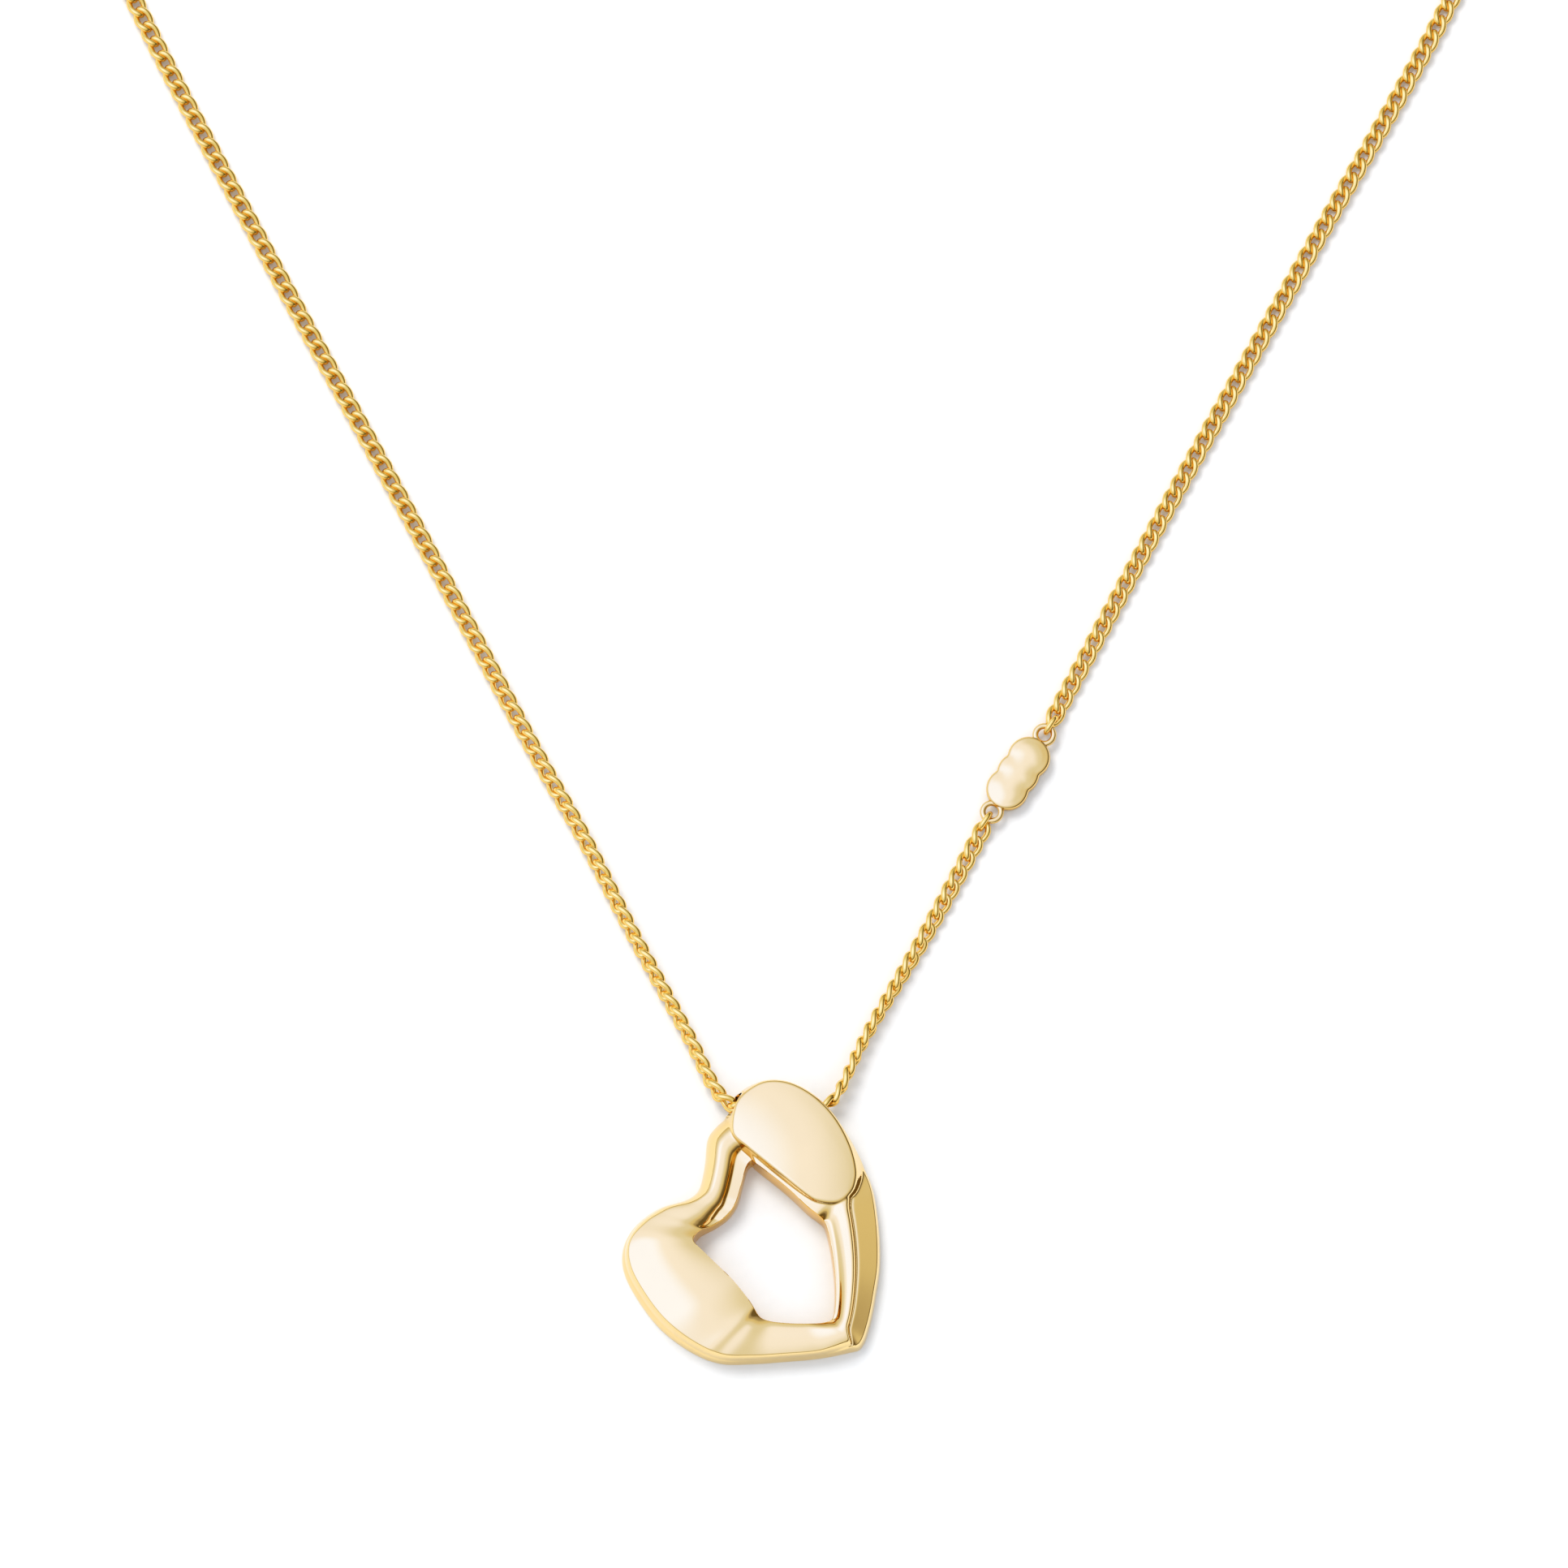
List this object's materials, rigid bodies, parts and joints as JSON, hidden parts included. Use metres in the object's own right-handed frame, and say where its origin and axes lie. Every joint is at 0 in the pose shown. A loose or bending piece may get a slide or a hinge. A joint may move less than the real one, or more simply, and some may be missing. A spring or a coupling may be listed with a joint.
{
  "type": "pendant necklace",
  "caption": "Fine curb-chain necklace with an open, tilted heart pendant, a small lobed charm let into the chain, a lobster clasp and an extender.",
  "frame": {"origin": "on the heart's flat back, straight under the middle of the bail tube", "axes": "necklace lies face up: +Z out of the heart's face, +Y from the heart up towards the clasp, +X to the wearer's left"},
  "size_m": [0.1236, 0.204, 0.0033],
  "materials": {
    "gold_plated_brass": "polished pale gold plate over brass",
    "spring_steel": "drawn spring wire"
  },
  "bodies": {
    "front_chain": {"chain_front_left": "gold_plated_brass", "chain_front_right": "gold_plated_brass", "charm_link_lower": "gold_plated_brass", "charm_link_upper": "gold_plated_brass"},
    "pendant": {"heart_casting": "gold_plated_brass", "bail_tube": "gold_plated_brass"},
    "charm": {"charm_plate": "gold_plated_brass"},
    "back_chain": {"chain_back_left": "gold_plated_brass", "chain_back_right": "gold_plated_brass", "end_link_left": "gold_plated_brass", "end_link_right": "gold_plated_brass"},
    "clasp_ring": {"clasp_ring": "gold_plated_brass"},
    "clasp": {"clasp_body": "gold_plated_brass", "clasp_pin": "gold_plated_brass", "clasp_spring": "spring_steel"},
    "clasp_lever": {"clasp_lever": "gold_plated_brass"},
    "closure_ring": {"closure_ring": "gold_plated_brass"},
    "extender_ring": {"extender_ring": "gold_plated_brass"},
    "extender_link_01": {"extender_link_01": "gold_plated_brass"},
    "extender_link_02": {"extender_link_02": "gold_plated_brass"},
    "extender_link_03": {"extender_link_03": "gold_plated_brass"},
    "extender_link_04": {"extender_link_04": "gold_plated_brass"},
    "extender_link_05": {"extender_link_05": "gold_plated_brass"},
    "extender_link_06": {"extender_link_06": "gold_plated_brass"},
    "extender_link_07": {"extender_link_07": "gold_plated_brass"},
    "extender_link_08": {"extender_link_08": "gold_plated_brass"},
    "extender_link_09": {"extender_link_09": "gold_plated_brass"},
    "extender_link_10": {"extender_link_10": "gold_plated_brass"},
    "extender_link_11": {"extender_link_11": "gold_plated_brass"},
    "extender_link_12": {"extender_link_12": "gold_plated_brass"},
    "extender_link_13": {"extender_link_13": "gold_plated_brass"},
    "extender_link_14": {"extender_link_14": "gold_plated_brass"}
  },
  "joints": [
    {"name": "pendant_swing", "type": "hinge", "parent": "front_chain", "child": "pendant", "pos_m": [0, 0, 0.0015], "axis": [-1, 0, 0], "range_deg": [-30, 85]},
    {"name": "charm_roll", "type": "hinge", "parent": "front_chain", "child": "charm", "pos_m": [0.01984, 0.0281, 0.00085], "axis": [0.5544, 0.8322, 0], "range_deg": [-25, 25]},
    {"name": "neck_fold", "type": "hinge", "parent": "front_chain", "child": "back_chain", "pos_m": [0.0013, 0.1205, 0.0017], "axis": [1, 0, 0], "range_deg": [0, 90]},
    {"name": "clasp_ring_roll", "type": "hinge", "parent": "back_chain", "child": "clasp_ring", "pos_m": [-0.02616, 0.17546, 0.00155], "axis": [0.9426, 0.3338, 0], "range_deg": [-15, 15]},
    {"name": "clasp_roll", "type": "hinge", "parent": "back_chain", "child": "clasp", "pos_m": [-0.019, 0.178, 0.00155], "axis": [0.9426, 0.3338, 0], "range_deg": [-10, 10]},
    {"name": "clasp_lever_hinge", "type": "hinge", "parent": "clasp", "child": "clasp_lever", "pos_m": [-0.02232, 0.1781, 0.00155], "axis": [0, 0, -1], "range_deg": [0, 20], "stiffness_Nm_per_rad": 0.0002, "springref_deg": -5.73},
    {"name": "closure_ring_roll", "type": "hinge", "parent": "back_chain", "child": "closure_ring", "pos_m": [-0.01561, 0.1792, 0.00155], "axis": [0.9426, 0.3338, 0], "range_deg": [-10, 10]},
    {"name": "extender_roll_01", "type": "hinge", "parent": "back_chain", "child": "extender_link_01", "pos_m": [-0.01281, 0.17996, 0.00137], "axis": [0.9744, 0.225, 0], "range_deg": [-15, 25]},
    {"name": "extender_roll_02", "type": "hinge", "parent": "back_chain", "child": "extender_link_02", "pos_m": [-0.00977, 0.18056, 0.00126], "axis": [0.9847, 0.1745, 0], "range_deg": [-25, 25]},
    {"name": "extender_roll_03", "type": "hinge", "parent": "back_chain", "child": "extender_link_03", "pos_m": [-0.00671, 0.18101, 0.00115], "axis": [0.9923, 0.1236, 0], "range_deg": [-25, 25]},
    {"name": "extender_roll_04", "type": "hinge", "parent": "back_chain", "child": "extender_link_04", "pos_m": [-0.00362, 0.18129, 0.00115], "axis": [0.9974, 0.0724, 0], "range_deg": [-25, 25]},
    {"name": "extender_roll_05", "type": "hinge", "parent": "back_chain", "child": "extender_link_05", "pos_m": [-0.00052, 0.18142, 0.00115], "axis": [0.9998, 0.0209, 0], "range_deg": [-25, 25]},
    {"name": "extender_roll_06", "type": "hinge", "parent": "back_chain", "child": "extender_link_06", "pos_m": [0.00258, 0.18139, 0.00115], "axis": [0.9995, -0.0305, 0], "range_deg": [-25, 25]},
    {"name": "extender_roll_07", "type": "hinge", "parent": "back_chain", "child": "extender_link_07", "pos_m": [0.00567, 0.1812, 0.00115], "axis": [0.9966, -0.0819, 0], "range_deg": [-25, 25]},
    {"name": "extender_roll_08", "type": "hinge", "parent": "back_chain", "child": "extender_link_08", "pos_m": [0.00875, 0.18084, 0.00115], "axis": [0.9911, -0.1331, 0], "range_deg": [-25, 25]},
    {"name": "extender_roll_09", "type": "hinge", "parent": "back_chain", "child": "extender_link_09", "pos_m": [0.0118, 0.18034, 0.00115], "axis": [0.9829, -0.184, 0], "range_deg": [-25, 25]},
    {"name": "extender_roll_10", "type": "hinge", "parent": "back_chain", "child": "extender_link_10", "pos_m": [0.01483, 0.17967, 0.00115], "axis": [0.9722, -0.2343, 0], "range_deg": [-25, 25]},
    {"name": "extender_roll_11", "type": "hinge", "parent": "back_chain", "child": "extender_link_11", "pos_m": [0.01782, 0.17885, 0.00115], "axis": [0.9588, -0.284, 0], "range_deg": [-25, 25]},
    {"name": "extender_roll_12", "type": "hinge", "parent": "back_chain", "child": "extender_link_12", "pos_m": [0.02076, 0.17788, 0.00115], "axis": [0.9429, -0.333, 0], "range_deg": [-25, 25]},
    {"name": "extender_roll_13", "type": "hinge", "parent": "back_chain", "child": "extender_link_13", "pos_m": [0.02365, 0.17675, 0.00115], "axis": [0.9245, -0.3811, 0], "range_deg": [-25, 25]},
    {"name": "extender_roll_14", "type": "hinge", "parent": "back_chain", "child": "extender_link_14", "pos_m": [0.02648, 0.17548, 0.00115], "axis": [0.9037, -0.4281, 0], "range_deg": [-25, 25]},
    {"name": "extender_ring_roll", "type": "hinge", "parent": "back_chain", "child": "extender_ring", "pos_m": [0.02865, 0.17445, 0.00115], "axis": [0.9037, -0.4281, 0], "range_deg": [-20, 20]}
  ]
}
